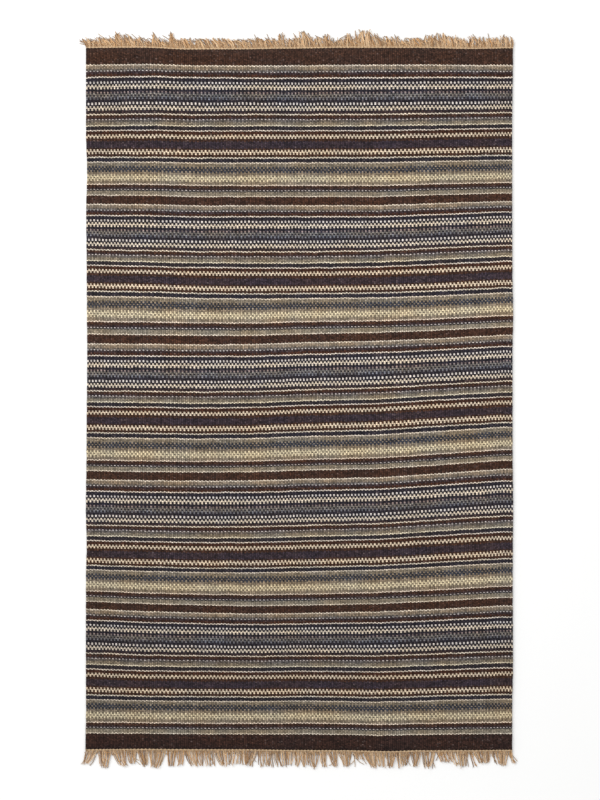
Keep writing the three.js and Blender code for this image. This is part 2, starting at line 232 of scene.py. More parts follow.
# The weaver's order for one repeat: (yarn, its number of picks) or (motif, 1)
ORDER = [
    ("cream", 2), ("tan", 4), ("mid_grey", 2), ("muted_white", 1), ("purple", 3),
    ("red_brown", 3), ("warm_white", 2), ("navy", 5), ("white-cream", 1), ("navy", 2),
    ("grey-navy", 1), ("navy", 4), ("white-cream", 1), ("purple", 3), ("cream", 2),
    ("brown", 3), ("purple", 2), ("dot_white", 1), ("mid_grey", 3), ("olive", 4),
    ("yellow_cream", 2), ("dark_navy", 5), ("warm_white", 2), ("red_brown", 5), ("gold-brown", 1),
    ("brown", 4), ("slate", 9), ("brown", 2), ("gold-brown", 1), ("brown", 3),
    ("grey_cream", 2), ("navy", 5), ("cream", 2), ("olive", 5), ("slate-taupe", 1),
    ("taupe", 4), ("gold-taupe", 1), ("taupe", 4), ("pink_cream", 2), ("brown", 4),
    ("purple", 3), ("dot_white", 1), ("dark_grey", 2), ("grey_green", 6), ("cream", 2),
    ("brown", STRIPE),
]

# The locks of each fringe, left to right: (strands, lean, reach, gather), as in the solids
NEAR_LOCKS = [
    (3, -15, 28, 0.55), (4, -1, 36, 0.5), (4, 8, 33, 0.5), (3, 1, 27, 0.4), (3, 5, 34, 0.6),
    (5, -4, 36, 0.5), (3, -2, 33, 0.5), (2, -2, 32, 0.45), (5, 7, 33, 0.2), (3, 5, 33, 0.0),
    (1, 12, 33, 0.0), (5, 3, 32, 0.35), (2, 0, 31, 0.0), (4, -6, 31, 0.55), (4, 2, 33, 0.0),
    (1, 7, 33, 0.0), (3, 5, 32, 0.4), (2, -1, 30, 0.2), (2, -1, 32, 0.4), (3, 3, 32, 0.1),
    (2, -3, 36, 0.6), (2, 2, 32, 0.5), (3, 8, 32, 0.6), (4, 4, 31, 0.55), (3, 3, 16, 0.0),
    (4, 9, 32, 0.6), (2, 3, 33, 0.2), (3, 0, 32, 0.6), (1, 3, 32, 0.0), (3, -1, 29, 0.55),
    (3, -2, 31, 0.6), (4, -2, 35, 0.45), (4, 8, 23, 0.2), (2, 8, 30, 0.0), (3, 0, 34, 0.5),
    (1, 9, 32, 0.0), (5, 5, 24, 0.4), (1, 7, 26, 0.0), (4, 2, 30, 0.5), (1, 8, 26, 0.0),
]
FAR_LOCKS = [
    (2, -7, 15, 0.0), (2, -7, 10, 0.0), (4, -10, 16, 0.0), (2, -5, 27, 0.6), (3, -8, 21, 0.0),
    (3, -8, 15, 0.0), (2, -6, 8, 0.0), (1, -2, 29, 0.0), (2, -6, 16, 0.0), (2, -10, 11, 0.0),
    (2, -6, 28, 0.6), (2, -6, 14, 0.0), (5, -8, 17, 0.0), (5, -10, 17, 0.0), (4, -12, 17, 0.0),
    (4, -10, 16, 0.0), (3, -7, 17, 0.0), (3, -7, 16, 0.0), (2, -10, 16, 0.0), (2, -6, 26, 0.3),
    (2, -4, 15, 0.0), (2, -3, 21, 0.0), (3, -7, 29, 0.2), (3, -6, 17, 0.0), (2, -2, 24, 0.5),
    (2, -3, 10, 0.0), (2, -3, 14, 0.0), (2, -2, 24, 0.4), (1, -2, 13, 0.0), (4, -2, 30, 0.1),
    (3, -9, 26, 0.1), (1, -5, 15, 0.0), (2, -4, 19, 0.0), (2, -5, 18, 0.0), (3, -9, 9, 0.0),
    (4, -8, 15, 0.0), (3, -5, 21, 0.0), (3, -4, 24, 0.1), (3, -5, 21, 0.0), (3, -6, 17, 0.0),
    (2, -3, 22, 0.2), (4, -5, 19, 0.0), (3, -6, 17, 0.0), (2, -2, 22, 0.0), (1, -2, 20, 0.0),
]

# Single yarns that stray from their locks, in the photo: root (x, y), tip (x, y) and curl
NEAR_STRAYS = [
    ((95, 755), (89.5, 765), 0.1), ((131, 754), (140, 764), 0.2), ((133, 757), (138.5, 759.5), 0.2),
    ((142, 752), (144, 766), 0.2), ((208, 751), (214.5, 765), 0.1), ((250, 754), (256, 761), 0.5),
    ((252, 757), (252, 766), 0.2), ((300, 756), (303, 766), 0.1), ((335, 759), (328.5, 765), 0.1),
    ((354, 759), (349, 764), 0.1), ((354, 757), (354.5, 766), 0.0), ((356, 757), (363, 764), -0.2),
    ((361, 755), (366, 763.5), 0.2), ((363, 752), (372, 764), 0.6), ((396, 754), (398.5, 767), 0.2),
    ((404, 751), (410, 765), 0.2), ((414, 757), (412.5, 766), 0.1), ((432, 758), (434.5, 767), 0.1),
    ((438, 754), (435, 760), -0.4), ((466, 754), (468, 766), 0.2), ((508, 752), (512, 762), 0.4),
    ((510, 751), (517, 760.5), 0.2),
]
FAR_STRAYS = [
    ((88, 46), (79, 43.5), 0.5), ((111, 45), (97, 34), 0.5), ((131, 40), (125, 33), -0.2),
    ((139, 43), (131, 33.5), 0.1), ((144, 43), (138, 35), 0.2), ((157, 42), (153, 32), -0.6),
    ((173, 45), (162, 35), 0.0), ((177, 44), (170, 33), 0.5), ((257, 44), (254, 34), -0.3),
    ((270, 43), (266, 33.5), 0.3), ((284, 43), (281, 33), -0.2), ((297, 42), (293, 32.5), -0.5),
    ((308, 42), (303, 32), 0.4), ((311, 41), (308, 33), -0.2), ((324, 40), (314, 36), 1.0),
    ((339, 42), (342, 35.5), 2.4), ((352, 42), (349, 33), 0.3), ((397, 43), (394, 34), -0.2),
    ((443, 43), (439, 33.5), 0.4), ((447, 43), (443, 34), -0.3), ((480, 42), (471, 35), 1.6),
    ((490, 43), (487, 33), 0.4), ((507, 43), (503, 35.5), -0.3), ((512, 44), (511, 37), 0.4),
]


def smooth(table, column, at):
    """A column of a table between its rows, eased so that it stays smooth. at may be an array."""
    rows = np.array(table, dtype=float)
    at = np.asarray(at, dtype=float)
    row = np.clip(np.searchsorted(rows[:, 0], at, side="left") - 1, 0, len(rows) - 2)
    low, high = rows[row], rows[row + 1]
    t = np.clip((at - low[..., 0]) / (high[..., 0] - low[..., 0]), 0, 1)
    eased = t * t * (3 - 2 * t)
    return low[..., column] + (high[..., column] - low[..., column]) * eased


def warp_lines():
    """Where the ribs' valleys and crests stand, as shares of the width: valley, crest, valley..."""
    lines = 2 * WARP_ENDS
    steps = smooth(REED, 1, (np.arange(lines) + 0.5) / lines)
    shares = np.concatenate([[0], np.cumsum(steps)])
    return shares / shares[-1]


def near_end(across):
    """The y of the cloth's near edge at a share of the width."""
    return -FIELD_LENGTH / 2 - smooth(END_WANDER, 2, across)


def far_end(across):
    """The y of the cloth's far edge at a share of the width."""
    return FIELD_LENGTH / 2 + smooth(END_WANDER, 1, across)


def field_x(across, share):
    """The x of a warp line at a share of the length, with the selvedges' wander."""
    reach = FIELD_WIDTH / 40
    from_left = across * FIELD_WIDTH
    from_right = (1 - across) * FIELD_WIDTH
    drift = WARP_DRIFT * np.sin(math.pi * share) * np.sin(TAU * across)
    left = smooth(SIDE_WANDER, 1, share) * np.maximum(0, 1 - from_left / reach)
    right = smooth(SIDE_WANDER, 2, share) * np.maximum(0, 1 - from_right / reach)
    return (across - 0.5) * FIELD_WIDTH + drift - left + right


def bow(px, py):
    """How far the weft is out of line at a place in the photo, in pixels."""
    rows = np.array([row[1:] for row in BOW])
    heights = [row[0] for row in BOW]
    by_column = np.stack([np.interp(py, heights, rows[:, c]) for c in range(len(BOW_ACROSS))])
    column = np.clip(np.searchsorted(BOW_ACROSS, px, side="left") - 1, 0, len(BOW_ACROSS) - 2)
    low = np.take(BOW_ACROSS, column)
    high = np.take(BOW_ACROSS, column + 1)
    t = np.clip((px - low) / (high - low), -0.4, 1.4)
    left = np.take_along_axis(by_column, column[None], axis=0)[0]
    right = np.take_along_axis(by_column, column[None] + 1, axis=0)[0]
    return left * (1 - t) + right * t


def straight_height(pick):
    """The height in the photo at which a pick would lie if the weft were straight."""
    picks, heights = [0], [FAR_EDGE_PX]
    for repeat in range(REPEATS):
        start = END_BAND + repeat * REPEAT
        for row in BEATEN:
            picks.append(start + row[0])
            heights.append(row[1 + repeat])
    picks.append(PICKS)
    heights.append(NEAR_EDGE_PX)
    return np.interp(pick, picks, heights)


# Between my own field, centred on the origin, and the frame
field_low, field_high = (np.array(corner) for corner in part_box("woven_field"))
own_x = [field_x(np.array(side), np.linspace(0, 1, 200)) for side in (0.0, 1.0)]
own_y = [near_end(np.linspace(0, 1, 200)).min(), far_end(np.linspace(0, 1, 200)).max()]
SHIFT = np.array(
    [
        (field_low[0] + field_high[0]) / 2 / MM - (own_x[0].min() + own_x[1].max()) / 2,
        (field_low[1] + field_high[1]) / 2 / MM - (own_y[0] + own_y[1]) / 2,
        0,
    ]
)


def make_mesh(name, points, loops, counts, attributes, material):
    """An object from points in millimetres, with attributes given for each face corner."""
    mesh = bpy.data.meshes.new(name)
    points = (np.asarray(points) + SHIFT) * MM
    counts = np.asarray(counts, dtype=np.int32)
    starts = np.concatenate([[0], np.cumsum(counts)[:-1]]).astype(np.int32)
    mesh.vertices.add(len(points))
    mesh.vertices.foreach_set("co", points.astype(np.float32).ravel())
    mesh.loops.add(len(loops))
    mesh.loops.foreach_set("vertex_index", np.asarray(loops, dtype=np.int32))
    mesh.polygons.add(len(counts))
    mesh.polygons.foreach_set("loop_start", starts)
    mesh.update(calc_edges=True)
    mesh.polygons.foreach_set("use_smooth", np.ones(len(counts), dtype=bool))
    for label, values in attributes.items():
        layer = mesh.attributes.new(label, "FLOAT_VECTOR", "CORNER")
        layer.data.foreach_set("vector", np.asarray(values, dtype=np.float32).ravel())
    mesh.materials.append(material)
    mesh.validate()
    obj = bpy.data.objects.new(name, mesh)
    bpy.context.scene.collection.objects.link(obj)
    return obj


def grid_quads(index):
    """The quads of a grid of vertex numbers, each counter-clockwise for columns to the right."""
    return np.stack([index[:-1, :-1], index[:-1, 1:], index[1:, 1:], index[1:, :-1]], axis=-1)


def cloth_points(ribs, picks):
    """The points of the cloth's upper and lower faces, row by row of picks."""
    line = np.arange(len(ribs))
    across = ribs[None, :].repeat(len(picks), axis=0)

    # Where each row lies: on its pick, but on the cloth's own edge at the ends
    px = CENTRE_PX[0] + (across - 0.5) * FIELD_WIDTH / PIXEL
    straight = straight_height(picks)[:, None].repeat(len(ribs), axis=1)
    y = (CENTRE_PX[1] - straight - bow(px, straight)) * PIXEL
    for end, first, sign in ((far_end(across), 0, 1), (near_end(across), -1, -1)):
        miss = (end - y)[first][None, :]
        y = y + miss * np.exp(-np.abs(y - sign * FIELD_LENGTH / 2) / EDGE_EASE)
    scallop = -END_SCALLOP * np.cos(math.pi * line / 2)
    y[0] = far_end(across)[0] + scallop
    y[-1] = near_end(across)[-1] - scallop
    share = (y - near_end(across)) / (far_end(across) - near_end(across))
    phase = rng.uniform(0, TAU, len(ribs))[None, :]
    x = field_x(across, share)
    sway = WARP_SWAY * np.sin(y / rng.uniform(*SWAY_LENGTH, len(ribs))[None, :] + phase)
    x[:, 1:-1] += sway[:, 1:-1]
    for side in (0, -1):
        x[1:-1, side] += SELVEDGE_SCALLOP * np.sin(y[1:-1, side] / SELVEDGE_WAVE + side)

    # The ribs: pairs of warp ends stand a little closer, with a deeper valley between pairs
    relief = np.where(line % 4 == 0, PAIR_RELIEF, END_RELIEF) * (line % 2 == 0)
    pucker = PUCKER * (
        np.sin(x / 47 + 0.6 * np.sin(y / 90)) * np.sin(y / 61 + 1.3) + np.sin(x / 23 + y / 131)
    )
    top_z = THICKNESS - relief[None, :] - np.abs(pucker)
    top_z[:, [0, -1]] = SELVEDGE_MIDDLE
    bottom_z = 0.8 * relief[None, :] + 0 * x
    return np.stack([x, y, top_z], axis=-1), np.stack([x, y, bottom_z], axis=-1)


def woven_field(material):
    """The cloth: ribbed above and below, closed at the selvedges and at both ends."""
    ribs = warp_lines()
    picks = np.linspace(0, PICKS, FIELD_ROWS + 1)
    top, bottom = cloth_points(ribs, picks)
    rows, columns = len(picks), len(ribs)
    upper = np.arange(rows * columns).reshape(rows, columns)
    lower = upper + rows * columns
    lower[:, [0, -1]] = upper[:, [0, -1]]

    # Where each corner lies in the weave: its warp end and its pick
    place = np.zeros((rows, columns, 3))
    place[..., 0] = np.arange(columns) / 2
    place[..., 1] = picks[:, None]
    place = place.reshape(-1, 3)
    over, under = grid_quads(upper)[..., ::-1].reshape(-1, 4), grid_quads(upper).reshape(-1, 4)
    faces = [over, grid_quads(lower).reshape(-1, 4)]
    weave = [place[over], place[under] + (1, 0, 0)]

    # The cloth laid out flat, for its map: the top beside the underside
    spread = np.zeros((rows, columns, 2))
    spread[..., 0] = ribs
    spread[..., 1] = 1 - picks[:, None] / PICKS
    spread = spread.reshape(-1, 2)
    flat = [MAP_TOP[0] + MAP_TOP[1] * spread[over], MAP_UNDER[0] + MAP_UNDER[1] * spread[under]]

    # The two ends, cut square between the top and the underside
    for row, turn, strip in END_STRIPS:
        wall = [upper[row, :-1], upper[row, 1:], lower[row, 1:], lower[row, :-1]]
        wall = np.stack(wall, axis=-1)[1:-1, ::turn]
        depth = np.array([STRIP_WIDTH, STRIP_WIDTH, 0, 0])[::turn]
        at = place[wall % (rows * columns)]
        faces.append(wall)
        weave.append(at)
        along = MAP_TOP[0][1] + MAP_TOP[1][1] * at[..., 0] / WARP_ENDS
        flat.append(np.stack([strip + depth + 0 * along, along], axis=-1))

    # At the four corners the end meets the selvedge in a triangle
    corners = []
    for row, turn, strip in END_STRIPS:
        left = [upper[row, 0], upper[row, 1], lower[row, 1]]
        right = [upper[row, -2], upper[row, -1], lower[row, -2]]
        for corner, v in zip((left, right), CORNER_PLACES):
            corners.append(corner[::turn])
            weave.append(np.array([[place[corner[0]]] * 3]))
            flat.append((strip, v) + CORNER_SIZE * np.array([[(0, 0), (1, 0), (0, 2)]]))
    loops = np.concatenate([q.ravel() for q in faces] + [np.ravel(corners)])
    counts = np.concatenate([np.full(sum(len(q) for q in faces), 4), np.full(len(corners), 3)])
    weave = np.concatenate([w.reshape(-1, 3) for w in weave])
    flat = np.concatenate([f.reshape(-1, 2) for f in flat])

    # The underside's points at the selvedges are the top's own, so theirs aren't used
    points = np.concatenate([top.reshape(-1, 3), bottom.reshape(-1, 3)])
    used = np.unique(loops)
    renumber = np.zeros(len(points), dtype=np.int64)
    renumber[used] = np.arange(len(used))
    loops = renumber[loops]
    obj = make_mesh("field_cloth", points[used], loops, counts, {"weave": weave}, material)
    layer = obj.data.uv_layers.new(name="OFBake")
    layer.data.foreach_set("uv", flat.astype(np.float32).ravel())
    return obj


class Yarns:
    """Gathers round yarns along paths, with (distance, turn, number) at each face corner."""

    def __init__(self):
        self.points = []
        self.loops = []
        self.counts = []
        self.strand = []
        self.size = 0
        self.number = 0

    def add(self, path, radii, sides=6, lobes=0.0, twist=0.0, number=None):
        """One yarn of round section, or of two twisted plies where lobes is over 0."""
        path = np.asarray(path, dtype=float)
        rings = len(path)
        forward = np.gradient(path, axis=0)
        forward /= np.linalg.norm(forward, axis=1)[:, None]
        side = np.cross(forward, (0, 0, 1.0))
        side /= np.maximum(np.linalg.norm(side, axis=1)[:, None], 1e-6)
        lift = np.cross(side, forward)
        steps = np.linalg.norm(np.diff(path, axis=0), axis=1)
        distance = np.concatenate([[0], np.cumsum(steps)])
        angle = np.arange(sides) / sides * TAU
        turn = angle[None, :] + (distance * twist)[:, None]
        radii = np.asarray(radii, dtype=float)
        swell = radii[:, None] * (1 + lobes * np.cos(2 * turn))
        ring = (
            path[:, None, :]
            + (swell * np.cos(angle))[..., None] * side[:, None, :]
            + (swell * np.sin(angle))[..., None] * lift[:, None, :]
        )
        index = self.size + np.arange(rings * sides).reshape(rings, sides)
        wrapped = np.concatenate([index, index[:, :1]], axis=1)
        quads = grid_quads(wrapped).reshape(-1, 4)
        number = self.number if number is None else number
        turns = np.arange(sides + 1) / sides
        label = np.stack(
            [
                distance[:, None].repeat(sides + 1, axis=1),
                turns[None, :].repeat(rings, axis=0),
                np.full((rings, sides + 1), float(number)),
            ],
            axis=-1,
        )
        flat = label.reshape(-1, 3)
        numbers = np.arange(rings * (sides + 1)).reshape(rings, sides + 1)
        corner = grid_quads(numbers).reshape(-1, 4)
        self.points.append(ring.reshape(-1, 3))
        self.loops.append(quads.ravel())
        self.counts.append(np.full(len(quads), 4))
        self.strand.append(flat[corner].reshape(-1, 3))
        caps = [index[0], index[-1][::-1]]
        for cap, place in zip(caps, (0.0, distance[-1])):
            self.loops.append(cap)
            self.counts.append([sides])
            self.strand.append(np.array([[place, 0.5, number]] * sides))
        self.size += rings * sides
        self.number += 1

    def build(self, name, material):
        return make_mesh(
            name,
            np.concatenate(self.points),
            np.concatenate(self.loops),
            np.concatenate(self.counts),
            {"strand": np.concatenate(self.strand)},
            material,
        )


def to_field(px, py):
    """A place in the photo, in millimetres from the field's centre."""
    return np.array([(px - CENTRE_PX[0]) * PIXEL, (CENTRE_PX[1] - py) * PIXEL])


# The fringe, in millimetres. The twined cords are given as (out from the weave, height, radius).
HEADING_WIDTH = 3.4
TWINED_CORDS = ((1.2, 3.0, 1.35), (2.8, 1.9, 1.3))
YARN_RADIUS = 1.3
STRAND_PITCH = FIELD_WIDTH / (WARP_ENDS / 2)
CUT_ALLOWANCE = 0.9


def heading_line(yarns, end_of, outward):
    """Two twined cords that close the weave, one bump for each pair of warp ends."""
    ribs = warp_lines()
    across = np.interp(np.arange(0, WARP_ENDS + 0.01, 0.25), np.arange(len(ribs)) / 2, ribs)
    ends = np.interp(across, ribs, np.arange(len(ribs)) / 2)
    x = field_x(across, np.full_like(across, 1.0 if outward > 0 else 0.0))
    bump = np.abs(np.cos(math.pi * ends / 2))
    knots = np.arange(0, WARP_ENDS + 3, 3)
    uneven = np.interp(ends, knots, rng.normal(0, 0.13, WARP_ENDS // 3 + 1))
    for out, height, radius in TWINED_CORDS:
        y = end_of(across) + outward * (out - 0.3 * bump + uneven)
        path = np.stack([x, y, height + 0.12 * bump], axis=-1)
        yarns.add(path, radius * (0.72 + 0.4 * bump), sides=8, number=0.0)


def yarn_path(root, tip, curl, wave, start_height, rest_height, rings):
    """A yarn that leaves its root straight out, leans to its tip and settles on the floor."""
    t = np.linspace(0, 1, rings)
    root = np.asarray(root, dtype=float)
    tip = np.asarray(tip, dtype=float)
    reach = tip - root
    length = np.linalg.norm(reach)
    outward = np.array([0, math.copysign(1, reach[1]) if reach[1] else 1.0])
    bend = root + 0.42 * length * (0.6 * outward + 0.4 * reach / length)
    line = (
        ((1 - t) ** 2)[:, None] * root
        + (2 * t * (1 - t))[:, None] * bend
        + (t**2)[:, None] * tip
    )
    across = np.array([reach[1], -reach[0]]) / length
    size, turns, phase = wave
    swing = size * t * np.sin(turns * TAU * t + phase)
    swing = swing + curl * 0.22 * length * (t**3 - 0.6 * t)
    line = line + swing[:, None] * across
    height = rest_height + (start_height - rest_height) * (1 - t) ** 3
    return np.concatenate([line, height[:, None]], axis=1)


def frayed_end(yarns, path, fibres, length, radius):
    """Loose fibres at the cut end of a yarn."""
    tip = path[-1]
    forward = path[-1] - path[-2]
    forward /= np.linalg.norm(forward)
    across = np.array([-forward[1], forward[0], 0])
    for _ in range(fibres):
        spread = rng.normal(0, 0.38)
        size = length * rng.uniform(0.4, 1.2)
        t = np.linspace(0, 1, 5)[:, None]
        bend = rng.normal(0, 0.35)
        line = tip - forward * 1.2 + size * t * (forward + across * (spread + bend * t))
        line[:, 2] = np.maximum(tip[2] + rng.normal(0, 0.4) * t[:, 0], radius)
        yarns.add(line, radius * np.linspace(1, 0.35, 5), sides=3, number=yarns.number - 1)


def root_place(across, end_of, outward, out):
    """Where a yarn starts: at a share of the width, a little out from the cloth's edge."""
    share = np.array(1.0 if outward > 0 else 0.0)
    across = np.array(across)
    return np.array([float(field_x(across, share)), float(end_of(across)) + outward * out])


def matted_roots(yarns, end_of, outward, look):
    """Short curled ends, beaten together next to the heading line."""
    for _ in range(look["matted"]):
        root = root_place(rng.uniform(0.002, 0.998), end_of, outward, HEADING_WIDTH - 0.8)
        reach = rng.uniform(*look["matted_reach"])
        lean = rng.normal(look["matted_lean"], 0.6)
        tip = root + np.array([lean * reach, outward * reach])
        wave = (rng.uniform(0.8, 2.4), rng.uniform(0.7, 1.8), rng.uniform(0, TAU))
        radius = rng.uniform(0.6, 1.0)
        path = yarn_path(root, tip, rng.normal(0, 1.0), wave, 1.9, rng.uniform(0.7, 4.2), 8)
        path[:, 2] = np.maximum(path[:, 2], radius)
        yarns.add(path, radius * np.linspace(1, 0.6, 8), sides=5, lobes=0.12, twist=1.0)


def lock_yarns(yarns, first, lock, end_of, outward, look):
    """The yarns of one lock, side by side at their roots and drawn together at their tips."""
    strands, lean, reach, gather = lock
    count = strands * look["yarns"]
    order = np.arange(count) + rng.normal(0, look["crossing"], count)
    order = np.argsort(np.argsort(order))
    lock_turn = rng.uniform(0, TAU)
    for k in range(count):
        slot = first + (k + 0.5 + rng.normal(0, 0.15)) / look["yarns"]
        root = root_place(slot / (WARP_ENDS / 2), end_of, outward, HEADING_WIDTH - 0.6)
        middle = ((k + 0.5) / look["yarns"] - strands / 2) * STRAND_PITCH
        gathered = ((order[k] + 0.5) / look["yarns"] - strands / 2) * STRAND_PITCH * (1 - gather)
        longer = rng.uniform(*look["length"])
        length = (reach + CUT_ALLOWANCE) * longer
        sideways = (lean + gathered - middle) * longer + rng.normal(0, look["stray"])
        tip = root + np.array([sideways, outward * length])
        wave = (rng.uniform(*look["wave"]), rng.uniform(0.6, 1.6), lock_turn + rng.normal(0, 0.6))
        radius = YARN_RADIUS * look["thick"] * rng.uniform(0.72, 1.12)
        rest = radius + rng.uniform(0, look["layers"])
        rings = look["rings"]
        path = yarn_path(root, tip, rng.normal(*look["curl"]), wave, 2.3, rest, rings)
        radii = radius * (1 - 0.3 * np.linspace(0, 1, rings) ** 2)
        path[:, 2] = np.maximum(path[:, 2], radii)
        yarns.add(path, radii, sides=6, lobes=0.14, twist=1.0)
        frayed_end(yarns, path, 3, 2.6, 0.3)


# How the yarns of each fringe lie: the near one combed out, the far one curled and matted
NEAR_LOOK = {
    "yarns": 3, "rings": 12, "crossing": 1.6, "length": (0.86, 1.04), "stray": 0.8, "thick": 0.84,
    "wave": (0.2, 1.3), "layers": 3.0, "curl": (0, 0.3),
    "matted": 320, "matted_reach": (4, 12), "matted_lean": 0.1,
}
FAR_LOOK = {
    "yarns": 4, "rings": 11, "crossing": 2.2, "length": (0.82, 1.2), "stray": 2.0, "thick": 1.0,
    "wave": (0.8, 2.6), "layers": 3.6, "curl": (0.3, 0.6),
    "matted": 740, "matted_reach": (6, 20), "matted_lean": -0.75,
}


def fringe(name, locks, strays, end_of, outward, look, material):
    """The heading line, and beyond it the yarns of each lock and those that stray."""
    yarns = Yarns()
    heading_line(yarns, end_of, outward)
    yarns.number = 1
    first = 0
    for lock in locks:
        lock_yarns(yarns, first, lock, end_of, outward, look)
        first += lock[0]
    matted_roots(yarns, end_of, outward, look)
    for root, tip, curl in strays:
        path = yarn_path(to_field(*root), to_field(*tip), curl, (0.5, 1.0, curl), 2.6, 1.6, 14)
        radii = 0.75 * np.linspace(1.05, 0.8, 14)
        yarns.add(path, radii, sides=6, lobes=0.1, twist=1.1)
        frayed_end(yarns, path, 3, 1.8, 0.25)
    return yarns.build(name, material)


def linear(colour):
    """An sRGB colour of 0 to 255 as the linear one that a shader takes."""
    c = np.array(colour, dtype=float) / 255
    value = np.where(c <= 0.04045, c / 12.92, ((c + 0.055) / 1.055) ** 2.4)
    return (*value.tolist(), 1.0)


class Graph:
    """Short names for the nodes of one material."""

    def __init__(self, name):
        self.material = bpy.data.materials.new(name)
        self.material.use_nodes = True
        self.tree = self.material.node_tree
        self.shader = self.tree.nodes["Principled BSDF"]

    def plug(self, socket, value):
        if isinstance(value, bpy.types.NodeSocket):
            self.tree.links.new(value, socket)
        elif value is not None:
            socket.default_value = value

    def math(self, operation, a, b=None, c=None):
        node = self.tree.nodes.new("ShaderNodeMath")
        node.operation = operation
        for socket, value in zip(node.inputs, (a, b, c)):
            self.plug(socket, value)
        return node.outputs[0]

    def times(self, first, *rest):
        for value in rest:
            first = self.math("MULTIPLY", first, value)
        return first

    def plus(self, first, *rest):
        for value in rest:
            first = self.math("ADD", first, value)
        return first

    def vector(self, x=0.0, y=0.0, z=0.0):
        node = self.tree.nodes.new("ShaderNodeCombineXYZ")
        for socket, value in zip(node.inputs, (x, y, z)):
            self.plug(socket, value)
        return node.outputs[0]

    def attribute(self, name):
        node = self.tree.nodes.new("ShaderNodeAttribute")
        node.attribute_name = name
        parts = self.tree.nodes.new("ShaderNodeSeparateXYZ")
        self.plug(parts.inputs[0], node.outputs["Vector"])
        return parts.outputs

    def place(self):
        return self.tree.nodes.new("ShaderNodeTexCoord").outputs["Object"]

    def height(self):
        split = self.tree.nodes.new("ShaderNodeSeparateXYZ")
        self.plug(split.inputs[0], self.place())
        return split.outputs["Z"]

    def noise(self, vector, scale, detail=2.0, roughness=0.5):
        node = self.tree.nodes.new("ShaderNodeTexNoise")
        self.plug(node.inputs["Vector"], vector)
        node.inputs["Scale"].default_value = scale
        node.inputs["Detail"].default_value = detail
        node.inputs["Roughness"].default_value = roughness
        return node.outputs["Fac"]

    def chance(self, vector):
        node = self.tree.nodes.new("ShaderNodeTexWhiteNoise")
        self.plug(node.inputs["Vector"], vector)
        return node.outputs["Value"]

    def ease(self, value, low, high, to_low=0.0, to_high=1.0):
        node = self.tree.nodes.new("ShaderNodeMapRange")
        node.interpolation_type = "SMOOTHSTEP"
        for socket, given in zip(node.inputs, (value, low, high, to_low, to_high)):
            self.plug(socket, given)
        return node.outputs[0]

    def mix(self, share, a, b, kind="MIX"):
        node = self.tree.nodes.new("ShaderNodeMix")
        node.data_type = "RGBA"
        node.blend_type = kind
        self.plug(node.inputs[0], share)
        self.plug(node.inputs[6], a)
        self.plug(node.inputs[7], b)
        return node.outputs[2]

    def brightness(self, colour):
        node = self.tree.nodes.new("ShaderNodeRGBToBW")
        self.plug(node.inputs[0], colour)
        return node.outputs[0]

    def scaled(self, colour, factor):
        node = self.tree.nodes.new("ShaderNodeVectorMath")
        node.operation = "SCALE"
        self.plug(node.inputs[0], colour)
        self.plug(node.inputs["Scale"], factor)
        return node.outputs[0]

    def tinted(self, colour, amount):
        """Warmer where amount is over 0 and cooler where it is under."""
        node = self.tree.nodes.new("ShaderNodeVectorMath")
        node.operation = "MULTIPLY"
        self.plug(node.inputs[0], colour)
        red = self.math("MULTIPLY_ADD", amount, 0.5, 1.0)
        blue = self.math("MULTIPLY_ADD", amount, -0.7, 1.0)
        self.plug(node.inputs[1], self.vector(red, 1.0, blue))
        return node.outputs[0]

    def curve(self, value, points):
        """The height at value of a line through points, whose x runs from 0 to 1."""
        node = self.tree.nodes.new("ShaderNodeFloatCurve")
        line = node.mapping.curves[0]
        for point in points[1:-1]:
            line.points.new(*point)
        line.points[0].location = points[0]
        line.points[-1].location = points[-1]
        for point in line.points:
            point.handle_type = "VECTOR"
        node.mapping.update()
        self.plug(node.inputs["Value"], value)
        return node.outputs[0]

    def bump(self, height, distance, strength=1.0, normal=None):
        node = self.tree.nodes.new("ShaderNodeBump")
        node.inputs["Strength"].default_value = strength
        node.inputs["Distance"].default_value = distance
        self.plug(node.inputs["Height"], height)
        self.plug(node.inputs["Normal"], normal)
        return node.outputs[0]

    def steps(self, value, colours):
        """A colour for each whole number: colours is (first number, colour), in order."""
        node = self.tree.nodes.new("ShaderNodeValToRGB")
        ramp = node.color_ramp
        ramp.interpolation = "CONSTANT"
        ramp.elements[0].position = 0
        ramp.elements[0].color = colours[0][1]
        ramp.elements.remove(ramp.elements[1])
        for first, colour in colours[1:]:
            ramp.elements.new((first - 0.5) / 255).color = colour
        self.plug(node.inputs[0], self.math("DIVIDE", value, 255.0))
        return node.outputs[0]


def weft_order():
    """The repeat as (first pick, yarn), with each motif spelt out."""
    runs = []
    pick = 0
    for name, count in ORDER:
        if name in MOTIFS:
            letters, yarns = MOTIFS[name]
            named = [yarns[letter] for letter in letters.split()]
        else:
            named = [name] * count
        for yarn in named:
            if not runs or runs[-1][1] != yarn:
                runs.append((pick, yarn))
            pick += 1
    assert pick == REPEAT, pick
    return runs


# A colour ramp holds 32 colours at most, so the repeat is spread over several
MOST_STEPS = 30


def yarn_colour(g, pick):
    """The colour of the yarn of a pick, counted from the far end."""
    place = g.math("FLOORED_MODULO", g.math("ADD", pick, 0.5 - END_BAND), float(REPEAT))
    runs = weft_order()
    colour = None
    for start in range(0, len(runs), MOST_STEPS):
        part = runs[start : start + MOST_STEPS]
        base = part[0][0]
        table = [(first - base, linear(YARNS[yarn])) for first, yarn in part]
        found = g.steps(g.math("SUBTRACT", place, float(base)), table)
        later = g.math("GREATER_THAN", place, float(base))
        colour = found if colour is None else g.mix(later, colour, found)
    far_band = g.math("LESS_THAN", pick, END_BAND - 0.5)
    near_band = g.math("GREATER_THAN", pick, PICKS - END_BAND - 0.5)
    colour = g.mix(far_band, colour, linear(YARNS["brown"]))
    return g.mix(near_band, colour, linear(YARNS["dark_brown"]))


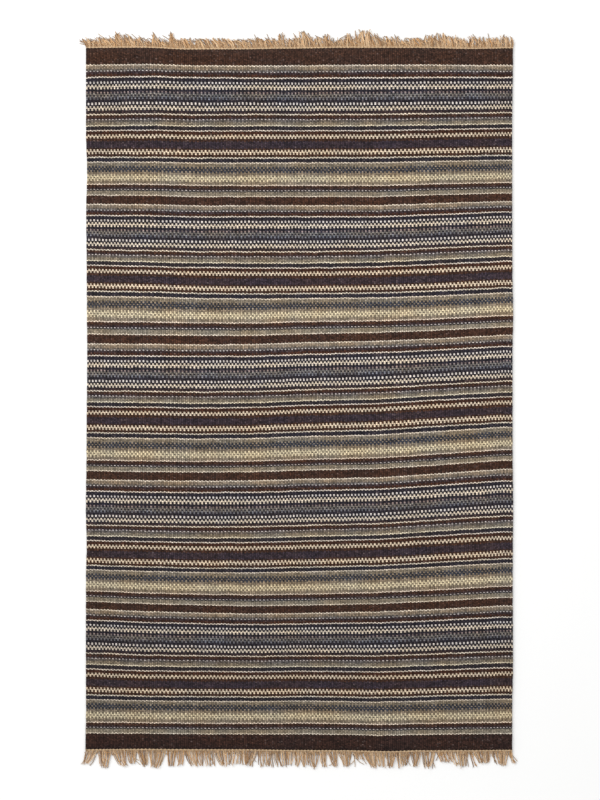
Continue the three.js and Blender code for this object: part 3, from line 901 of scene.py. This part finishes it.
def settled(g, along_weft, along_warp):
    """The pick that lies at a place, where some have settled closer and each wanders a little."""
    place = g.math("FLOORED_MODULO", g.math("SUBTRACT", along_warp, float(END_BAND)), float(REPEAT))
    points = [((pick + shift) / REPEAT, 0.5 + shift / SETTLED_SPAN) for pick, shift in SETTLED]
    shift = g.curve(g.math("DIVIDE", place, float(REPEAT)), points)
    shift = g.math("MULTIPLY", g.math("SUBTRACT", shift, 0.5), SETTLED_SPAN)
    at = g.vector(g.math("MULTIPLY", along_weft, 0.11), g.math("MULTIPLY", along_warp, 0.045), 3.0)
    wander = g.math("SUBTRACT", g.noise(at, 1.0, 3, 0.6), 0.5)
    return g.math("SUBTRACT", along_warp, g.math("MULTIPLY_ADD", wander, PICK_WANDER, shift))


def float_place(g, along_weft, along_warp):
    """The warp end and the pick that show at a place, and how far across and along their float."""
    end = g.math("FLOOR", along_weft)
    over = g.math("SUBTRACT", along_weft, end)
    odd = g.math("FLOORED_MODULO", end, 2.0)
    slant = g.times(g.math("SUBTRACT", over, 0.5), FLOAT_SLANT)
    waver = g.times(g.math("SUBTRACT", g.chance(g.vector(end, 3.0)), 0.5), FLOAT_WAVER)
    half = g.times(g.plus(along_warp, 0.5, odd, slant, waver), 0.5)
    whole = g.math("FLOOR", half)
    up = g.math("SUBTRACT", half, whole)
    pick = g.math("SUBTRACT", g.times(whole, 2.0), odd)
    return end, over, pick, up


def from_edge(g, share):
    """0 at either edge of a float and 1 at its middle."""
    return g.times(g.math("MINIMUM", share, g.math("SUBTRACT", 1.0, share)), 2.0)


def float_colour(g, along_weft, pick, up, edge_over, edge_up):
    """The float's own yarn, with the next float along the same warp end where that closes in.

    A light yarn is finer than a dark one, so its floats are shorter and rounder.
    """
    own = yarn_colour(g, pick)
    towards = g.math("MULTIPLY_ADD", g.math("GREATER_THAN", up, 0.5), 4.0, -2.0)
    beside = yarn_colour(g, g.plus(pick, towards))
    adjoining = yarn_colour(g, g.math("MULTIPLY_ADD", towards, 0.5, pick))
    lighter = g.math("SUBTRACT", g.brightness(own), g.brightness(beside))
    alone = g.math("SUBTRACT", g.brightness(own), g.brightness(adjoining))
    slub = g.noise(g.vector(g.times(along_weft, 0.33), g.times(pick, 5.7)), 1.0, 2)
    shrink = g.times(
        g.ease(lighter, 0.02, 0.3),
        g.math("MULTIPLY_ADD", slub, -SLUB_UNEVEN, SLUB_FINENESS),
        g.ease(alone, 0.02, 0.2),
    )
    tall = g.math("DIVIDE", g.math("SUBTRACT", 1.0, edge_up), g.math("SUBTRACT", 1.0, shrink))
    wide = g.math("POWER", g.math("SUBTRACT", 1.0, edge_over), 3.0)
    outside = g.math("MULTIPLY_ADD", wide, 0.45, g.times(tall, tall))
    taken = g.times(g.ease(outside, 0.8, 1.2), g.ease(lighter, 0.02, 0.06))
    return g.mix(taken, own, beside)


def uneven_dye_and_painted_light(g, colour, along_weft, end, pick):
    """Jute takes dye unevenly: from lot to lot, pick to pick, along each pick and float to float.
    Painted light also makes the cloth lighter towards its right edge.
    """
    light = g.ease(g.brightness(colour), 0.06, 0.5)
    streak = g.noise(g.vector(g.times(along_weft, 0.3), g.times(pick, 7.31)), 1.0, 3)
    streak = g.math("SUBTRACT", g.ease(streak, 0.25, 0.75), 0.5)
    single = g.math("SUBTRACT", g.chance(g.vector(end, pick, 1.0)), 0.5)
    blotch = g.noise(g.place(), 7.0, 3)
    lots = g.curve(g.math("DIVIDE", pick, float(PICKS)), [(at, dye / 2) for at, dye in DYE_LOTS])
    level = g.times(
        g.math("MULTIPLY_ADD", streak, g.math("MULTIPLY_ADD", light, -0.45, 0.9), 1.0),
        g.math("MULTIPLY_ADD", single, g.math("MULTIPLY_ADD", light, -0.4, 0.85), 1.0),
        g.math("MULTIPLY_ADD", blotch, 0.16, 0.92),
        g.times(lots, 2.0),
        # Painted light, lighter towards the right edge
        g.math("MULTIPLY_ADD", along_weft, PAINTED_LIGHT_TO_RIGHT / WARP_ENDS, 1 - PAINTED_LIGHT_TO_RIGHT / 2),
    )
    warm = g.noise(g.vector(g.times(along_weft, 0.09), g.times(pick, 3.17), 5.0), 1.0, 2)
    colour = g.mix(g.ease(warm, 0.5, 0.8, 0.0, 0.1), colour, linear(RAW_JUTE))
    hue = g.noise(g.vector(g.times(along_weft, 0.05), g.times(pick, 0.03), 9.0), 1.0, 3)
    tint = g.math("MULTIPLY_ADD", g.ease(hue, 0.25, 0.75), 0.36, -0.18)
    colour = g.tinted(colour, g.times(tint, g.math("MULTIPLY_ADD", light, -0.6, 1.0)))
    dusty = g.ease(g.chance(g.vector(end, pick, 2.0)), 0.92, 1.0, 0.0, 0.15)
    return g.mix(dusty, colour, linear(DUST)), level


def woven_material():
    """Dyed jute, float by float: colour, uneven dye, painted light towards the right, shade where
    floats dive, and their relief.
    """
    g = Graph("dyed_jute_weave")
    along_weft, along_warp, _ = g.attribute("weave")
    along_warp = settled(g, along_weft, along_warp)
    end, over, pick, up = float_place(g, along_weft, along_warp)
    edge_over = from_edge(g, over)
    edge_up = from_edge(g, up)
    colour = float_colour(g, along_weft, pick, up, edge_over, edge_up)
    colour, level = uneven_dye_and_painted_light(g, colour, along_weft, end, pick)

    # The floats are round, and darker where they dive under and in the valleys between pairs
    valley = g.math("FLOOR", g.plus(along_weft, 0.5))
    between = g.math("SUBTRACT", 1.0, g.math("FLOORED_MODULO", valley, 2.0))
    depth = g.math("MULTIPLY_ADD", between, 0.25, 0.5)
    side_shade = g.math("SUBTRACT", 1.0, g.times(depth, g.ease(edge_over, 0.0, 0.5, 1.0, 0.0)))
    dive_shade = g.ease(edge_up, 0.0, 0.34, 0.26, 1.0)
    slanted = g.math("MULTIPLY_ADD", along_warp, 5.0, g.times(along_weft, 2.2))
    fibre = g.noise(g.vector(g.times(along_weft, 1.4), slanted, pick), 1.6, 4, 0.65)
    level = g.times(level, side_shade, dive_shade, g.math("MULTIPLY_ADD", fibre, 0.7, 0.69))
    g.plug(g.shader.inputs["Base Color"], g.scaled(colour, level))
    g.plug(g.shader.inputs["Roughness"], g.math("MULTIPLY_ADD", fibre, 0.2, 0.78))
    g.shader.inputs["Specular IOR Level"].default_value = 0.12
    g.shader.inputs["Sheen Weight"].default_value = 0.05
    g.shader.inputs["Sheen Roughness"].default_value = 0.6

    round_up = g.math("POWER", g.math("SINE", g.times(up, math.pi)), 0.6)
    dome = g.times(round_up, g.ease(edge_over, 0.0, 0.8, 0.45, 1.0))
    normal = g.bump(dome, 0.0009)
    normal = g.bump(fibre, 0.0004, 0.7, normal)
    g.plug(g.shader.inputs["Normal"], normal)
    return g.material


def fringe_material():
    """Undyed jute yarns, each of its own tone, twisted and a little hairy."""
    g = Graph("natural_jute_yarn")
    distance, turn, number = g.attribute("strand")
    tone = g.chance(g.vector(number, 4.0))
    coil = g.plus(g.times(distance, 0.3), turn)
    ply = g.math("SINE", g.times(coil, 2 * TAU))
    around = g.vector(g.times(distance, 0.35), g.times(turn, 4.0), g.times(number, 1.7))
    fibre = g.noise(around, 2.2, 4, 0.7)
    patch = g.noise(g.vector(g.times(distance, 0.22), g.times(number, 3.1)), 1.0, 2)
    colour = g.mix(tone, linear(FRINGE_DARK), linear(FRINGE_LIGHT))
    golden = g.math("GREATER_THAN", g.chance(g.vector(number, 9.0)), 0.84)
    colour = g.mix(g.times(golden, 0.55), colour, linear(FRINGE_GOLD))
    colour = g.mix(g.ease(fibre, 0.55, 0.8, 0.0, 0.5), colour, linear(FRINGE_FIBRE))

    # Painted shade: yarns are darker low down, deep in the fringe, and near their roots. The heading
    # line is darker than the other yarns.
    heading = g.math("LESS_THAN", number, 0.5)
    level = g.times(
        g.math("MULTIPLY_ADD", fibre, 0.5, 0.76),
        # Painted shade and light along the twist, darker in the grooves between plies
        g.math("MULTIPLY_ADD", ply, 0.12, 0.94),
        g.ease(patch, 0.3, 0.7, 0.8, 1.12),
        # Painted shade, darker low down and near the roots
        g.ease(g.height(), 0.0006, 0.0042, 0.5, 1.16),
        g.ease(distance, 0.0, 14.0, 0.85, 1.02),
        g.math("MULTIPLY_ADD", heading, -0.24, 1.0),
    )
    g.plug(g.shader.inputs["Base Color"], g.scaled(colour, level))
    g.plug(g.shader.inputs["Roughness"], g.math("MULTIPLY_ADD", fibre, 0.25, 0.68))
    g.shader.inputs["Specular IOR Level"].default_value = 0.3
    g.shader.inputs["Sheen Weight"].default_value = 0.1
    normal = g.bump(ply, 0.0004, 0.6)
    normal = g.bump(fibre, 0.0003, 0.6, normal)
    g.plug(g.shader.inputs["Normal"], normal)
    return g.material


def floor_material():
    g = Graph("floor")
    speck = g.noise(g.place(), 3.0, 3)
    colour = g.mix(speck, (0.95, 0.95, 0.945, 1), (0.97, 0.97, 0.965, 1))
    g.plug(g.shader.inputs["Base Color"], colour)
    g.shader.inputs["Roughness"].default_value = 0.7
    g.shader.inputs["Specular IOR Level"].default_value = 0.1
    g.shader.inputs["Emission Color"].default_value = (1, 1, 1, 1)
    g.shader.inputs["Emission Strength"].default_value = 0.07
    return g.material


def floor():
    """A wide pale floor, a hair below the rug."""
    size = 14.0
    below = -0.0002
    corners = [(-size, -size, below), (size, -size, below), (size, size, below), (-size, size, below)]
    mesh = bpy.data.meshes.new("floor")
    mesh.from_pydata(corners, [], [(0, 1, 2, 3)])
    mesh.materials.append(floor_material())
    obj = bpy.data.objects.new("floor", mesh)
    bpy.context.scene.collection.objects.link(obj)


def studio():
    """Soft even light, a little stronger from the photo's upper left, and the camera overhead."""
    scene = bpy.context.scene
    world = bpy.data.worlds.new("studio")
    world.use_nodes = True
    world.node_tree.nodes["Background"].inputs["Color"].default_value = (1, 1, 1, 1)
    world.node_tree.nodes["Background"].inputs["Strength"].default_value = 0.72
    scene.world = world
    light = bpy.data.lights.new("softbox", "AREA")
    light.shape = "RECTANGLE"
    light.size, light.size_y = 3.0, 3.0
    light.energy = 120
    softbox = bpy.data.objects.new("softbox", light)
    softbox.location = (-2.6, 2.2, 3.2)
    softbox.rotation_mode = "QUATERNION"
    softbox.rotation_quaternion = (-softbox.location).to_track_quat("-Z", "Y")
    scene.collection.objects.link(softbox)

    distance = 6.0
    sensor = 36.0
    camera = bpy.data.cameras.new("camera")
    camera.sensor_width = sensor
    camera.lens = sensor * distance / (PHOTO_PX[1] * PIXEL * MM)
    viewer = bpy.data.objects.new("camera", camera)
    middle = to_field(PHOTO_PX[0] / 2 - HALF_PIXEL, PHOTO_PX[1] / 2 - HALF_PIXEL)
    middle = (middle + SHIFT[:2]) * MM
    viewer.location = (middle[0], middle[1], distance)
    scene.collection.objects.link(viewer)
    scene.camera = viewer
    scene.view_settings.view_transform = "Standard"


floor()
yarn = fringe_material()
cloth = woven_field(woven_material())
far = fringe("far_fringe_yarns", FAR_LOCKS, FAR_STRAYS, far_end, 1, FAR_LOOK, yarn)
near = fringe("near_fringe_yarns", NEAR_LOCKS, NEAR_STRAYS, near_end, -1, NEAR_LOOK, yarn)
for piece, node, slot in (
    (cloth, "woven_field", "dyed_jute_weave"),
    (far, "far_fringe", "natural_jute_yarn"),
    (near, "near_fringe", "natural_jute_yarn"),
):
    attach(piece, "root")
    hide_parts(node)
studio()
